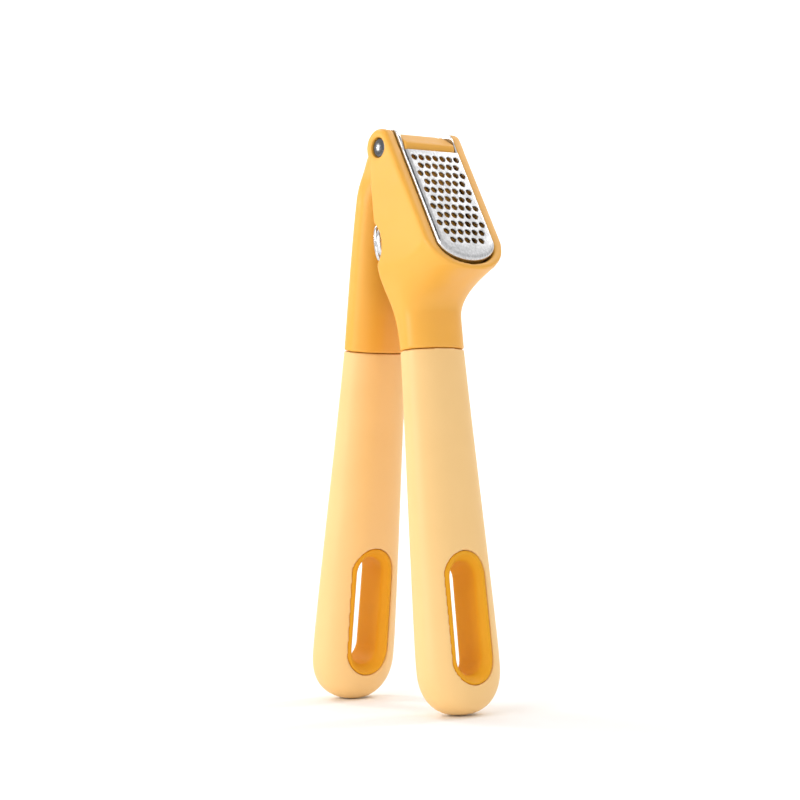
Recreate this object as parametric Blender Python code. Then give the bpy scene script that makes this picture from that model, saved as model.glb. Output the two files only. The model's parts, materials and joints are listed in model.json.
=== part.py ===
"""Garlic press: two plastic levers with over-moulded grips, a perforated steel basket that
swings out, and a pressing foot, all turning on one steel hinge pin.

World frame: X along the hinge pin, -Y is the front (the perforated plate's side), +Z up.
The press stands on its two grip ends with its levers part open.

Each lever is drawn in its own frame, with the pin as origin: x along the pin, "out" away
from the other lever, and "down" along the lever from the pin to the grip's end.
The basket has a third frame: "out" square to its perforated plate, "down" along it.
"""

import math

import bmesh
import bpy
from mathutils import Vector

MM = 0.001

# Assembly: where the pin is and how far each frame leans from the vertical, in degrees.
PIN_Y = -5.982
PIN_Z = 184.067
BASKET_LEVER_LEAN = -7.2
PLUNGER_LEVER_LEAN = 6.7
PLATE_TILT = 22.9
CLOSING_ANGLE = 11.5

# Fits, in millimetres.
GAP = 0.3
PIN_GAP = 0.2

# Hinge.
PIN_R = 2.2
PIN_HEAD_R = 3.05
PIN_RECESS_R = 3.35
PIN_RECESS_X = 14.4
EAR_R = 6.2
BARREL_R = 5.0
BARREL_HALF = 10.7
LOBE_R = 7.3
LOBE_TOP = 21.7
LOBE_END = -23.3

# Head of the basket lever.
HEAD_HALF = 16.5
HEAD_BACK = 5.6
RIM_OUT = 5.5
RIM_FILLET = 1.5
RIM_REACH = 10.6
EDGE_FILLET = 1.3
NOSE_DOWN = 43.2
NOSE_BLEND = 11.7
NOSE_DEEP = 22.0
TAPER_TOP = 37.4
TAPER_END = 56.7
NECK_TOP = 38.0
NECK_END = 66.0
NOTCH_DOWN = 30.9
NOTCH_HALF = 7.4
NOTCH_DEPTH = 3.6

# Neck and grip, the same on both levers.
NECK_HALF = 12.0
NECK_DEPTH = 6.7
SEAM_DOWN = 66.7
GRIP_END = 185.3
GRIP_HALF = 15.5
GRIP_DEPTH = 9.0
GRIP_BELLY = 165.0
GRIP_ROUND = 15.5
GRIP_SKIN = 2.4
ROUNDNESS = 0.9
SLOT_TOP = 132.6
SLOT_END = 176.0
SLOT_HALF = 8.7
SURROUND_INSET = 0.45
THROAT_INSET = 3.3
MOUTH_INSET = 0.9

# Arm of the plunger lever: its middle is set back from the pin, and its grip sits lower.
ARM_OFFSET = 13.4
ARM_DROP = 1.5
WEB_HALF = 6.0
WEB_TOP = 12.0
WEB_END = 38.0
WEB_ROOT = ((-30.0, 25.0), (-20.0, 12.0))
WEB_OUT = 0.2

# Where each grip sits on its lever: out, drop and the side that "out" is on.
BASKET_SEAT = (0.0, 0.0, -1)
PLUNGER_SEAT = (ARM_OFFSET, ARM_DROP, 1)

# Steel basket.
SHEET = 0.9
PLATE_OUT = 6.9
PLATE_TOP = 4.85
PLATE_HALF = 12.0
PLATE_STRAIGHT = 39.15
PLATE_END = 46.65
FOLD_R = 1.6
STEEL_EAR_R = 6.5
LIP_BACK = 7.4
LIP_THICK = 1.5
LIP_HALF = 13.8
LIP_TOP = 17.0
LIP_END = 37.6
TAB_HALF = 15.4
TAB_DOWN = 30.3
TAB_REACH = 5.9
POCKET_HALF = 12.3
POCKET_END = 47.6

# Holes in the plate.
HOLE_R = 1.1
HOLE_PITCH_X = 3.0
HOLE_PITCH_DOWN = 3.18
HOLE_TOP = PLATE_TOP + 2.9
HOLE_ROWS = (7, 6, 7, 6, 7, 6, 7, 6, 7, 6, 5)

# Pressing foot.
FOOT_OUT = 5.4
FOOT_BACK = -4.0
FOOT_TOP = 7.0
FOOT_HALF = 10.4
FOOT_STRAIGHT = 38.5
FOOT_END = 44.9
FOOT_PIN_R = 1.4
FOOT_PIN_DOWN = 25.0
FOOT_PIN_OUT = -1.9


# ---------------------------------------------------------------- scene and materials


def clear_scene():
    for obj in list(bpy.data.objects):
        bpy.data.objects.remove(obj, do_unlink=True)


def material(name, colour, roughness, metallic=0.0):
    mat = bpy.data.materials.new(name)
    mat.use_nodes = True
    shader = mat.node_tree.nodes["Principled BSDF"]
    shader.inputs["Base Color"].default_value = (*colour, 1.0)
    shader.inputs["Roughness"].default_value = roughness
    shader.inputs["Metallic"].default_value = metallic
    return mat


def frame_empty(name, lean):
    """An empty on the hinge axis, leaning by the given angle about the pin."""
    empty = bpy.data.objects.new(name, None)
    bpy.context.collection.objects.link(empty)
    empty.location = (0, PIN_Y * MM, PIN_Z * MM)
    empty.rotation_euler = (math.radians(lean), 0, 0)
    return empty


def add_object(name, bm, parent, mat=None):
    bmesh.ops.recalc_face_normals(bm, faces=bm.faces)
    mesh = bpy.data.meshes.new(name)
    bm.to_mesh(mesh)
    bm.free()
    obj = bpy.data.objects.new(name, mesh)
    bpy.context.collection.objects.link(obj)
    obj.parent = parent
    if mat:
        mesh.materials.append(mat)
        mesh.shade_smooth()
        mesh.set_sharp_from_angle(angle=math.radians(35))
    else:
        obj.hide_render = True
        obj.display_type = "WIRE"
    return obj


def boolean(target, tool, operation):
    mod = target.modifiers.new(operation.lower(), "BOOLEAN")
    mod.operation = operation
    mod.object = tool
    mod.solver = "EXACT"


# ---------------------------------------------------------------- shapes


def point(x, out, down, side):
    """A point of a lever's frame. side is -1 where "out" is towards -Y, +1 towards +Y."""
    return Vector((x, side * out, -down)) * MM


def section(half, back, front, back_corner, front_corner, steps=6):
    """Outline in (x, out): a rectangle with elliptical corners, a quarter turn at each."""
    corners = (
        (1, front, 1, front_corner),
        (-1, front, 1, front_corner),
        (-1, back, -1, back_corner),
        (1, back, -1, back_corner),
    )
    points = []
    for quadrant, (sx, edge, sy, (rx, ry)) in enumerate(corners):
        for i in range(steps + 1):
            angle = math.pi / 2 * (quadrant + i / steps)
            x = sx * (half - rx) + rx * math.cos(angle)
            points.append((x, edge - sy * ry + ry * math.sin(angle)))
    return points


def loft(rings):
    """A closed body through rings of equally many points, with a flat cap at each end."""
    bm = bmesh.new()
    rows = [[bm.verts.new(p) for p in ring] for ring in rings]
    count = len(rows[0])
    for low, high in zip(rows, rows[1:]):
        for i in range(count):
            j = (i + 1) % count
            bm.faces.new((low[i], low[j], high[j], high[i]))
    bm.faces.new(rows[0])
    bm.faces.new(rows[-1])
    return bm


def prism_x(outline, half, side):
    """An (out, down) outline drawn out along the pin's direction, from -half to half."""
    return loft([[point(x, out, down, side) for out, down in outline] for x in (-half, half)])


def cylinder_x(radius, x0, x1, out, down, side, steps=24):
    ring = [
        (out + radius * math.cos(a), down + radius * math.sin(a))
        for a in (math.tau * i / steps for i in range(steps))
    ]
    return loft([[point(x, o, d, side) for o, d in ring] for x in (x0, x1)])


def turned_x(profile, side, steps=24):
    """A body turned about the pin: profile is (x, radius) from one end to the other."""
    rings = []
    for x, radius in profile:
        angles = [math.tau * i / steps for i in range(steps)]
        rings.append(
            [point(x, radius * math.cos(a), radius * math.sin(a), side) for a in angles]
        )
    return loft(rings)


def smooth(u):
    u = min(max(u, 0.0), 1.0)
    return u * u * (3 - 2 * u)


def bezier(p0, p1, p2, p3, t):
    weights = ((1 - t) ** 3, 3 * t * (1 - t) ** 2, 3 * t * t * (1 - t), t**3)
    return tuple(sum(w * p[k] for w, p in zip(weights, (p0, p1, p2, p3))) for k in (0, 1))


def to_plate(out, down, tilt=PLATE_TILT):
    """(out, down) of a lever's frame as (plate out, plate down)."""
    c, s = math.cos(math.radians(tilt)), math.sin(math.radians(tilt))
    return (c * out - s * down, s * out + c * down)


def from_plate(out, down, tilt):
    return to_plate(out, down, -tilt)


def u_outline(half, top, straight, end, inset=0.0, steps=8):
    """Outline in (x, plate down): straight sides and a half-ellipse at the bottom."""
    a, b = half - inset, end - straight - inset
    points = [(-a, top), (a, top)]
    for i in range(2 * steps + 1):
        angle = math.pi * i / (2 * steps)
        points.append((a * math.cos(angle), straight + b * math.sin(angle)))
    return points


# ---------------------------------------------------------------- grips and their cores


def grip_section(down, inset, seat, at=None):
    """Section of the grip at one height, drawn in by the inset all round.

    seat is (out, drop, side): how far the grip's middle is from the lever's own line, how
    far down it is set, and the lever's side. at puts the section at another height.
    """
    centre, drop, side = seat
    along = min(max((down - SEAM_DOWN) / (GRIP_BELLY - SEAM_DOWN), 0.0), 1.0)
    swell = 0.75 * along + 0.25 * smooth(along)
    half = NECK_HALF + (GRIP_HALF - NECK_HALF) * swell
    depth = NECK_DEPTH + (GRIP_DEPTH - NECK_DEPTH) * swell
    into_end = (down - (GRIP_END - GRIP_ROUND)) / GRIP_ROUND
    if into_end > 0:
        half *= (1 - into_end**2.2) ** (1 / 2.2)
        depth *= (1 - into_end**2.8) ** (1 / 2.8)
    half, depth = half - inset, depth - inset
    corner = (ROUNDNESS * half, ROUNDNESS * depth)
    outline = section(half, centre - depth, centre + depth, corner, corner)
    height = drop + (down if at is None else at)
    return [point(x, out, height, side) for x, out in outline]


def grip_heights(first, inset):
    """Heights of the grip's sections: even down the shank, closer together round the end."""
    shank_end = GRIP_END - GRIP_ROUND
    shank = [first + (shank_end - first) * i / 9 for i in range(9)]
    reach = 0.985 - 0.9 * inset / GRIP_ROUND
    turn = [shank_end + GRIP_ROUND * reach * math.sin(math.pi / 2 * i / 7) for i in range(8)]
    return shank + turn


def grip_body(first, inset, seat):
    return loft([grip_section(d, inset, seat) for d in grip_heights(first, inset)])


def core_body(first, inset, seat):
    """The lever's core inside the grip; it starts straight, up inside the neck."""
    rings = [grip_section(SEAM_DOWN, inset, seat, at=first)]
    rings += [grip_section(d, inset, seat) for d in grip_heights(SEAM_DOWN, inset)]
    return loft(rings)


def stadium(half, top, end, steps=8):
    """Outline in (x, down) with round ends."""
    points = []
    for centre, turn in ((end - half, 0.0), (top + half, math.pi)):
        for i in range(steps + 1):
            angle = turn + math.pi * i / steps
            points.append((half * math.cos(angle), centre + half * math.sin(angle)))
    return points


def slot_body(levels, seat):
    """A slot's outline taken through the grip: each level is (out, inset of the outline)."""
    centre, drop, side = seat
    rings = []
    for out, inset in levels:
        outline = stadium(SLOT_HALF - inset, SLOT_TOP + inset, SLOT_END - inset)
        rings.append([point(x, centre + out, drop + down, side) for x, down in outline])
    return loft(rings)


def throat_levels():
    """The slot through the core: a straight throat that flares to a mouth on each face."""
    levels = []
    for share in (1.18, 1.0, 0.78, 0.56):
        flare = smooth((share - 0.56) / 0.44)
        levels.append((-share * GRIP_DEPTH, THROAT_INSET + (MOUTH_INSET - THROAT_INSET) * flare))
    return levels + [(-out, inset) for out, inset in reversed(levels)]


def add_grip(name, parent, seat, mat):
    """The pale over-moulded sleeve, open at its neck and at its slot."""
    sleeve = add_object(name, grip_body(SEAM_DOWN, 0.0, seat), parent, mat)
    cavity = core_body(SEAM_DOWN - 3, GRIP_SKIN - GAP, seat)
    boolean(sleeve, add_object(name + "_cavity", cavity, parent), "DIFFERENCE")
    slot = slot_body([(-2 * GRIP_DEPTH, 0.0), (2 * GRIP_DEPTH, 0.0)], seat)
    boolean(sleeve, add_object(name + "_slot", slot, parent), "DIFFERENCE")


def add_core(frame, parent, seat):
    """Joins the core and the slot's surround to a lever's frame, then opens the slot."""
    name = frame.name
    core = core_body(SEAM_DOWN - 6, GRIP_SKIN, seat)
    boolean(frame, add_object(name + "_core", core, parent), "UNION")
    surround = grip_body(SLOT_TOP - 8, SURROUND_INSET, seat)
    surround = add_object(name + "_surround", surround, parent)
    limit = slot_body([(-2 * GRIP_DEPTH, GAP), (2 * GRIP_DEPTH, GAP)], seat)
    boolean(surround, add_object(name + "_surround_limit", limit, parent), "INTERSECT")
    boolean(frame, surround, "UNION")
    throat = slot_body(throat_levels(), seat)
    boolean(frame, add_object(name + "_throat", throat, parent), "DIFFERENCE")


# ---------------------------------------------------------------- basket lever


def rim_half(down):
    """Half-width of the rim where a level cut of the lever meets it, less its fillet."""
    _, along = to_plate(*rim_point(down))
    into = min(max((along - PLATE_STRAIGHT) / RIM_REACH, 0.0), 1.0)
    return max(HEAD_HALF * math.sqrt(1 - into**2) - RIM_FILLET, 0.0)


def rim_point(down):
    """Where the rim plane is at one height of the lever."""
    c, s = math.cos(math.radians(PLATE_TILT)), math.sin(math.radians(PLATE_TILT))
    return ((RIM_OUT + s * down) / c, down)


def head_section(down):
    """Section of the head at one height, as (x, out)."""
    front = rim_point(down)[0]
    back = -HEAD_BACK
    half = HEAD_HALF
    front_corner = (RIM_FILLET, RIM_FILLET)
    back_corner = (EDGE_FILLET, EDGE_FILLET)
    if down < 0:
        reach = math.sqrt(EAR_R**2 - down**2)
        front = min(front, reach)
        core = math.sqrt(max((EAR_R - EDGE_FILLET) ** 2 - down**2, 0.0))
        drop = max(-down - (EAR_R - EDGE_FILLET), 0.0)
        half -= EDGE_FILLET - math.sqrt(EDGE_FILLET**2 - drop**2)
        round_x = max(EDGE_FILLET - (HEAD_HALF - half), 0.1)
        back_corner = (round_x, min(reach - core, 0.9 * reach))
        front_corner = (round_x, min(back_corner[1], 0.9 * front))
        back = -reach
    elif down < EAR_R:
        back = -max(HEAD_BACK, math.sqrt(EAR_R**2 - down**2))
    else:
        flat = rim_half(down)
        side_end = (PLATE_STRAIGHT - down * math.cos(math.radians(PLATE_TILT))) / math.sin(
            math.radians(PLATE_TILT)
        )
        deep = min(max(front - side_end, RIM_FILLET), NOSE_DEEP)
        front_corner = (HEAD_HALF - flat, deep)
    taper = smooth((down - TAPER_TOP) / (TAPER_END - TAPER_TOP))
    half += (NECK_HALF - HEAD_HALF) * taper
    back += (-NECK_DEPTH + HEAD_BACK) * taper
    if down > NOSE_DOWN:
        fall = max(1 - (down - NOSE_DOWN) / NOSE_BLEND, 0.0) ** 2
        tip = rim_point(NOSE_DOWN)[0]
        front = NECK_DEPTH + (tip - NECK_DEPTH) * fall
        front_corner = (ROUNDNESS * half, NOSE_DEEP * fall + ROUNDNESS * NECK_DEPTH * (1 - fall))
    neck = smooth((down - NECK_TOP) / (NECK_END - NECK_TOP))
    back_corner = tuple(
        c + (ROUNDNESS * r - c) * neck for c, r in zip(back_corner, (half, NECK_DEPTH))
    )
    front_corner = (
        min(front_corner[0], 0.96 * half),
        min(front_corner[1], 0.96 * (front - back - back_corner[1])),
    )
    return section(half, back, front, back_corner, front_corner)


def head_heights():
    ear = [-EAR_R * math.cos(math.radians(a)) for a in (12, 24, 36, 48, 60, 75, 90)]
    body = [6.0, 16.0, 26.0, 33.0, 35.5, 38.0, 40.5, 43.0, NOSE_DOWN]
    underside = [46.2, 47.6, 49.2, 51.0, 53.0, 55.5, 59.0, 63.0, SEAM_DOWN - GAP]
    return ear + body + underside


def pocket_body(parent):
    """Space for the basket: open through the head from the rim to the back, and at the top."""
    outline = u_outline(POCKET_HALF, -20.0, PLATE_STRAIGHT, POCKET_END)
    rings = [[point(x, out, down, -1) for x, down in outline] for out in (-60.0, 20.0)]
    return add_object("basket_pocket", loft(rings), parent)


def notch_body(parent):
    """A finger notch in each side wall's back edge, where the basket's lip can be pushed."""
    radius = (NOTCH_HALF**2 + NOTCH_DEPTH**2) / (2 * NOTCH_DEPTH)
    centre_out = -HEAD_BACK + NOTCH_DEPTH - radius
    body = cylinder_x(radius, -20.0, 20.0, centre_out, NOTCH_DOWN, -1, steps=48)
    return add_object("lip_notch", body, parent)


def pin_bore(name, radius, half, parent, side):
    return add_object(name, cylinder_x(radius, -half, half, 0.0, 0.0, side), parent)


def add_basket_lever(lever, plate_frame, yellow):
    rings = []
    for down in head_heights():
        rings.append([point(x, out, down, -1) for x, out in head_section(down)])
    frame = add_object("basket_lever_frame", loft(rings), lever, yellow)
    add_core(frame, lever, BASKET_SEAT)
    boolean(frame, pocket_body(plate_frame), "DIFFERENCE")
    boolean(frame, notch_body(lever), "DIFFERENCE")
    bore_r = PIN_R + PIN_GAP
    stepped = [(PIN_RECESS_X, bore_r), (PIN_RECESS_X, PIN_RECESS_R), (20.0, PIN_RECESS_R)]
    mirrored = [(-x, radius) for x, radius in reversed(stepped)]
    bore = add_object("ear_bore", turned_x(mirrored + stepped, -1), lever)
    boolean(frame, bore, "DIFFERENCE")
    return frame


# ---------------------------------------------------------------- plunger lever


def arm_rings():
    """Sections of the arm from the seam up, then forward over the shoulder to the barrel."""
    front, back = ARM_OFFSET - NECK_DEPTH, ARM_OFFSET + NECK_DEPTH
    shoulder_front = ((front, 34.0), (front, 20.0), (6.0, 9.0), (1.5, 3.6))
    shoulder_back = ((back, 42.8), (back - 0.8, 3.5), (19.0, -6.7), (3.9, -4.9))
    seam = SEAM_DOWN + ARM_DROP - GAP
    levels = [((front, d), (back, d), NECK_HALF) for d in (seam, 56.0)]
    for i in range(11):
        t = i / 10
        half = NECK_HALF - (NECK_HALF - BARREL_HALF + 0.2) * smooth((t - 0.3) / 0.2)
        levels.append((bezier(*shoulder_front, t), bezier(*shoulder_back, t), half))
    rings = []
    for (front_out, front_down), (back_out, back_down), half in levels:
        depth = math.hypot(back_out - front_out, back_down - front_down) / 2
        corner = (ROUNDNESS * half, ROUNDNESS * depth)
        outline = section(half, -depth, depth, corner, corner)
        ring = []
        for x, across in outline:
            share = (across + depth) / (2 * depth)
            out = front_out + (back_out - front_out) * share
            down = front_down + (back_down - front_down) * share
            ring.append(point(x, out, down, 1))
        rings.append(ring)
    return rings


def lobe_body():
    """The barrel's front lobe, which closes the chamber's top edge as the lever turns."""
    spread = math.degrees(math.acos(BARREL_R / LOBE_R))
    polar = [(BARREL_R, LOBE_TOP + spread)]
    polar += [(LOBE_R, LOBE_TOP + (LOBE_END - LOBE_TOP) * i / 5) for i in range(6)]
    polar += [(BARREL_R, LOBE_END - spread), (0.5, 180.0)]
    outline = []
    for radius, angle in polar:
        a = math.radians(angle)
        outline.append((-radius * math.cos(a), -radius * math.sin(a)))
    return prism_x(outline, BARREL_HALF - 0.2, 1)


def pressed_point(out, down):
    """A point of the plate's frame with the press closed, as (out, down) of the lever."""
    closed = PLUNGER_LEVER_LEAN - BASKET_LEVER_LEAN - CLOSING_ANGLE
    out, down = from_plate(out, down, PLATE_TILT + closed)
    return (-out, down)


def add_plunger_lever(lever, pressed, yellow):
    frame = add_object("plunger_lever_frame", loft(arm_rings()), lever, yellow)
    barrel = cylinder_x(BARREL_R, -BARREL_HALF, BARREL_HALF, 0.0, 0.0, 1, steps=32)
    boolean(frame, add_object("barrel", barrel, lever), "UNION")
    boolean(frame, add_object("lobe", lobe_body(), lever), "UNION")
    corners = ((WEB_OUT, WEB_TOP), (WEB_OUT, WEB_END), *WEB_ROOT)
    web = prism_x([pressed_point(*c) for c in corners], WEB_HALF, 1)
    boolean(frame, add_object("web", web, lever), "UNION")
    add_core(frame, lever, PLUNGER_SEAT)
    bore = pin_bore("barrel_bore", PIN_R + PIN_GAP, 20.0, lever, 1)
    boolean(frame, bore, "DIFFERENCE")
    body = cylinder_x(FOOT_PIN_R + PIN_GAP, -20, 20, FOOT_PIN_OUT, FOOT_PIN_DOWN, -1, 16)
    boolean(frame, add_object("web_bore", body, pressed), "DIFFERENCE")
    return frame


def add_foot(pressed, yellow):
    """The block that presses, with a pocket in its back for the lever's web."""
    outline = u_outline(FOOT_HALF, FOOT_TOP, FOOT_STRAIGHT, FOOT_END)
    inset = u_outline(FOOT_HALF, FOOT_TOP + 0.6, FOOT_STRAIGHT, FOOT_END, inset=0.6)
    levels = ((FOOT_BACK, outline), (FOOT_OUT - 0.6, outline), (FOOT_OUT, inset))
    rings = [[point(x, out, down, -1) for x, down in ring] for out, ring in levels]
    foot = add_object("plunger_foot", loft(rings), pressed, yellow)
    top, end = WEB_TOP - GAP, WEB_END + GAP
    floor = WEB_OUT + GAP
    corners = ((floor, top), (floor, end), (FOOT_BACK - 2, end), (FOOT_BACK - 2, top))
    pocket = add_object("foot_pocket", prism_x(corners, WEB_HALF + GAP, -1), pressed)
    boolean(foot, pocket, "DIFFERENCE")
    body = cylinder_x(FOOT_PIN_R + PIN_GAP, -20, 20, FOOT_PIN_OUT, FOOT_PIN_DOWN, -1, 16)
    boolean(foot, add_object("foot_bore", body, pressed), "DIFFERENCE")
    return foot


def add_foot_pin(pressed, steel):
    half = FOOT_HALF - 0.4
    body = cylinder_x(FOOT_PIN_R, -half, half, FOOT_PIN_OUT, FOOT_PIN_DOWN, -1, 16)
    return add_object("plunger_foot_pin", body, pressed, steel)


# ---------------------------------------------------------------- basket and hinge pin


def basket_profile():
    """Side outline of the basket's walls in (plate out, plate down), with the hinge ear."""
    corner = (PLATE_OUT - SHEET - 0.1, PLATE_TOP)
    reach = math.hypot(*corner)
    start = math.atan2(corner[1], corner[0]) - math.acos(STEEL_EAR_R / reach)
    rear = -math.pi - math.radians(PLATE_TILT)
    outline = [(PLATE_OUT + 2, PLATE_END + 4), (PLATE_OUT + 2, PLATE_TOP), corner]
    for i in range(13):
        angle = start + (rear - start) * i / 12
        outline.append((STEEL_EAR_R * math.cos(angle), STEEL_EAR_R * math.sin(angle)))
    back, tucked = -LIP_BACK + 0.4, -HEAD_BACK + 0.8
    outline += [to_plate(back, LIP_TOP), to_plate(back, LIP_END + 0.6)]
    return outline + [to_plate(tucked, LIP_END + 3.0), to_plate(tucked, 62.0)]


def basket_outer():
    """The folded sheet's outside: the plate's outline, rounded over its front edge."""
    levels = [(-60.0, 0.0)]
    for i in range(4):
        angle = math.pi / 2 * i / 3
        rise, inset = FOLD_R * math.sin(angle), FOLD_R * (1 - math.cos(angle))
        levels.append((PLATE_OUT - FOLD_R + rise, inset))
    rings = []
    for out, inset in levels:
        outline = u_outline(PLATE_HALF, -10.0, PLATE_STRAIGHT, PLATE_END, inset)
        rings.append([point(x, out, down, -1) for x, down in outline])
    return loft(rings)


def basket_inner():
    outline = u_outline(PLATE_HALF, -20.0, PLATE_STRAIGHT, PLATE_END, SHEET)
    levels = (-80.0, PLATE_OUT - SHEET)
    return loft([[point(x, out, down, -1) for x, down in outline] for out in levels])


def ear_room():
    """The space between the ears, above the plate, where the lever's barrel turns."""
    corners = ((-80.0, -20.0), (20.0, -20.0), (20.0, PLATE_TOP), (-80.0, PLATE_TOP))
    return prism_x(corners, PLATE_HALF - SHEET, -1)


def hole_cutters(parent):
    """One cutter made of separate round pegs, in staggered rows."""
    bm = bmesh.new()
    for row, count in enumerate(HOLE_ROWS):
        down = HOLE_TOP + row * HOLE_PITCH_DOWN
        for i in range(count):
            x = (i - (count - 1) / 2) * HOLE_PITCH_X
            rings = []
            for out in (PLATE_OUT - SHEET - 1, PLATE_OUT + 1):
                angles = [math.tau * (k + 0.5) / 8 for k in range(8)]
                ring = [(x + HOLE_R * math.cos(a), down + HOLE_R * math.sin(a)) for a in angles]
                rings.append([bm.verts.new(point(px, out, pd, -1)) for px, pd in ring])
            for k in range(8):
                j = (k + 1) % 8
                bm.faces.new((rings[0][k], rings[0][j], rings[1][j], rings[1][k]))
            bm.faces.new(rings[0])
            bm.faces.new(rings[1])
    return add_object("plate_holes", bm, parent)


def lip_body(side_x):
    """The lip folded outward along a side wall's back edge, with a half-moon finger tab."""
    inner = PLATE_HALF - 0.6
    outline = [(inner, LIP_END), (inner, LIP_TOP), (LIP_HALF, LIP_TOP + 1.5)]
    for i in range(9):
        angle = math.pi * i / 8
        x = LIP_HALF + (TAB_HALF - LIP_HALF) * math.sin(angle)
        outline.append((x, TAB_DOWN - TAB_REACH * math.cos(angle)))
    outline.append((LIP_HALF, LIP_END - 1.5))
    rings = []
    for out in (-LIP_BACK, -LIP_BACK + LIP_THICK):
        rings.append([point(side_x * x, out, down, -1) for x, down in outline])
    return loft(rings)


def add_basket(plate_frame, lever, steel):
    basket = add_object("basket", basket_outer(), plate_frame, steel)
    profile = add_object("basket_side", prism_x(basket_profile(), 15.0, -1), plate_frame)
    boolean(basket, profile, "INTERSECT")
    boolean(basket, add_object("basket_inside", basket_inner(), plate_frame), "DIFFERENCE")
    boolean(basket, add_object("ear_room", ear_room(), plate_frame), "DIFFERENCE")
    for name, side_x in (("left_lip", -1), ("right_lip", 1)):
        boolean(basket, add_object(name, lip_body(side_x), lever), "UNION")
    bore = pin_bore("basket_bore", PIN_R + PIN_GAP, 20.0, plate_frame, -1)
    boolean(basket, bore, "DIFFERENCE")
    boolean(basket, hole_cutters(plate_frame), "DIFFERENCE")
    return basket


def head_profile(x_inner, x_outer):
    """A low domed head from its flat underside out to its crown."""
    rise = x_outer - x_inner
    edge = 0.45
    dome = [
        (x_inner + rise * (edge + (1 - edge) * math.sin(a)), PIN_HEAD_R * math.cos(a))
        for a in (math.radians(b) for b in (0, 25, 50, 75))
    ]
    return [(x_inner, PIN_HEAD_R)] + dome


def add_hinge_pin(lever, steel):
    """The pin with its domed head, and the cap pressed on its other end."""
    head_in, head_out = PIN_RECESS_X + GAP, HEAD_HALF - 0.4
    shank_end = PIN_RECESS_X - 0.2
    profile = [(-x, r) for x, r in reversed(head_profile(head_in, head_out))]
    profile += [(-head_in, PIN_R), (shank_end, PIN_R)]
    add_object("hinge_pin", turned_x(profile, -1), lever, steel)
    add_object("pin_cap", turned_x(head_profile(head_in, head_out), -1), lever, steel)


# ---------------------------------------------------------------- assembly


def main():
    clear_scene()
    yellow = material("yellow_plastic", (0.84, 0.45, 0.11), 0.42)
    pale = material("pale_grip", (0.93, 0.68, 0.34), 0.5)
    steel = material("polished_steel", (0.75, 0.75, 0.74), 0.22, 1.0)
    basket_lever = frame_empty("basket_lever_axis", BASKET_LEVER_LEAN)
    plunger_lever = frame_empty("plunger_lever_axis", PLUNGER_LEVER_LEAN)
    plate = frame_empty("basket_axis", BASKET_LEVER_LEAN - PLATE_TILT)
    pressed = frame_empty("foot_axis", BASKET_LEVER_LEAN - PLATE_TILT + CLOSING_ANGLE)
    add_basket_lever(basket_lever, plate, yellow)
    add_grip("basket_lever_grip", basket_lever, BASKET_SEAT, pale)
    add_plunger_lever(plunger_lever, pressed, yellow)
    add_grip("plunger_lever_grip", plunger_lever, PLUNGER_SEAT, pale)
    add_foot(pressed, yellow)
    add_foot_pin(pressed, steel)
    add_basket(plate, basket_lever, steel)
    add_hinge_pin(basket_lever, steel)


main()
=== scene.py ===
# %% [markdown]
# # A garlic press, from its working frame to its finished look
# The working model gives the press its sizes, its pin and its moving bodies. This lesson
# builds the surfaces that a person sees: two moulded levers, their soft grips, a folded and
# punched steel basket, and the pin that they all turn on.

# %% Load the working frame
import json
import math
from collections import namedtuple

import bmesh
import bpy
from mathutils import Matrix, Vector


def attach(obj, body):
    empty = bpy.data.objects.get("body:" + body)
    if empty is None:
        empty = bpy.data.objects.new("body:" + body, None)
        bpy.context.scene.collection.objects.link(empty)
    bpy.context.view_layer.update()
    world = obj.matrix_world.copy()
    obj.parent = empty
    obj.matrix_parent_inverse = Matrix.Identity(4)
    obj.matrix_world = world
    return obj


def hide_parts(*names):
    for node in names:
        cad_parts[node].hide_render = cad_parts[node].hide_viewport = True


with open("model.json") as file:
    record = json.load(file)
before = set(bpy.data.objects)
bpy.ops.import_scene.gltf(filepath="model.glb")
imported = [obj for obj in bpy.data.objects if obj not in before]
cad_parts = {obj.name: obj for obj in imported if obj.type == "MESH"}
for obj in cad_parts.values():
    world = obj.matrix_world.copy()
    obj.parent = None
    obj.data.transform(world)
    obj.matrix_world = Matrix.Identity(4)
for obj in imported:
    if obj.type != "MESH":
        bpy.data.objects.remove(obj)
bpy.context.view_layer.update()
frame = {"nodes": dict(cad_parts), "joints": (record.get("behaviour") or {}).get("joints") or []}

# %% [markdown]
# ## The hinge axis is the origin of everything
# Each lever leans about the pin, so each one is easiest to draw in a frame of its own: x
# along the pin, "out" away from the other lever, "down" from the pin towards the grip.
# Drawing in the part's own frame keeps its numbers upright and readable, and one function
# turns a drawn point into its place on the press.

# %% Frames of the parts
MM = 0.001
PIN = Vector(frame["joints"][0]["pos_m"])
PLATE_TILT = 22.9
CLOSING_ANGLE = 11.5

Place = namedtuple("Place", "lean side")
basket_lever = Place(lean=-7.2, side=-1)
plunger_lever = Place(lean=6.7, side=1)
plate = Place(lean=basket_lever.lean - PLATE_TILT, side=-1)
pressed = Place(lean=plate.lean + CLOSING_ANGLE, side=-1)  # the foot's own upright


def spot(place, x, out, down):
    """A drawn point, in millimetres, as its place on the standing press, in metres."""
    turn = Matrix.Rotation(math.radians(place.lean), 3, "X")
    return PIN + turn @ (Vector((x, place.side * out, -down)) * MM)


print("pin at", [round(v * 1000, 2) for v in PIN], "mm")

# %% [markdown]
# ## Pulling a shape through its sections
# A moulded handle has no flat sides to extrude. A maker thinks of it as sections: the shape
# of the cut at each height. A ring of points is laid on the first section, its edge is
# extruded, and the new ring is moved onto the next section. The rings stay aligned all the
# way, so the skin has no twist.

# %% Rings, lofts and closed ends
def first_ring(bm, points):
    made = bmesh.ops.create_circle(bm, cap_ends=False, segments=len(points), radius=1.0)
    for vert, place in zip(made["verts"], points):
        vert.co = place
    return made["verts"]


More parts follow.
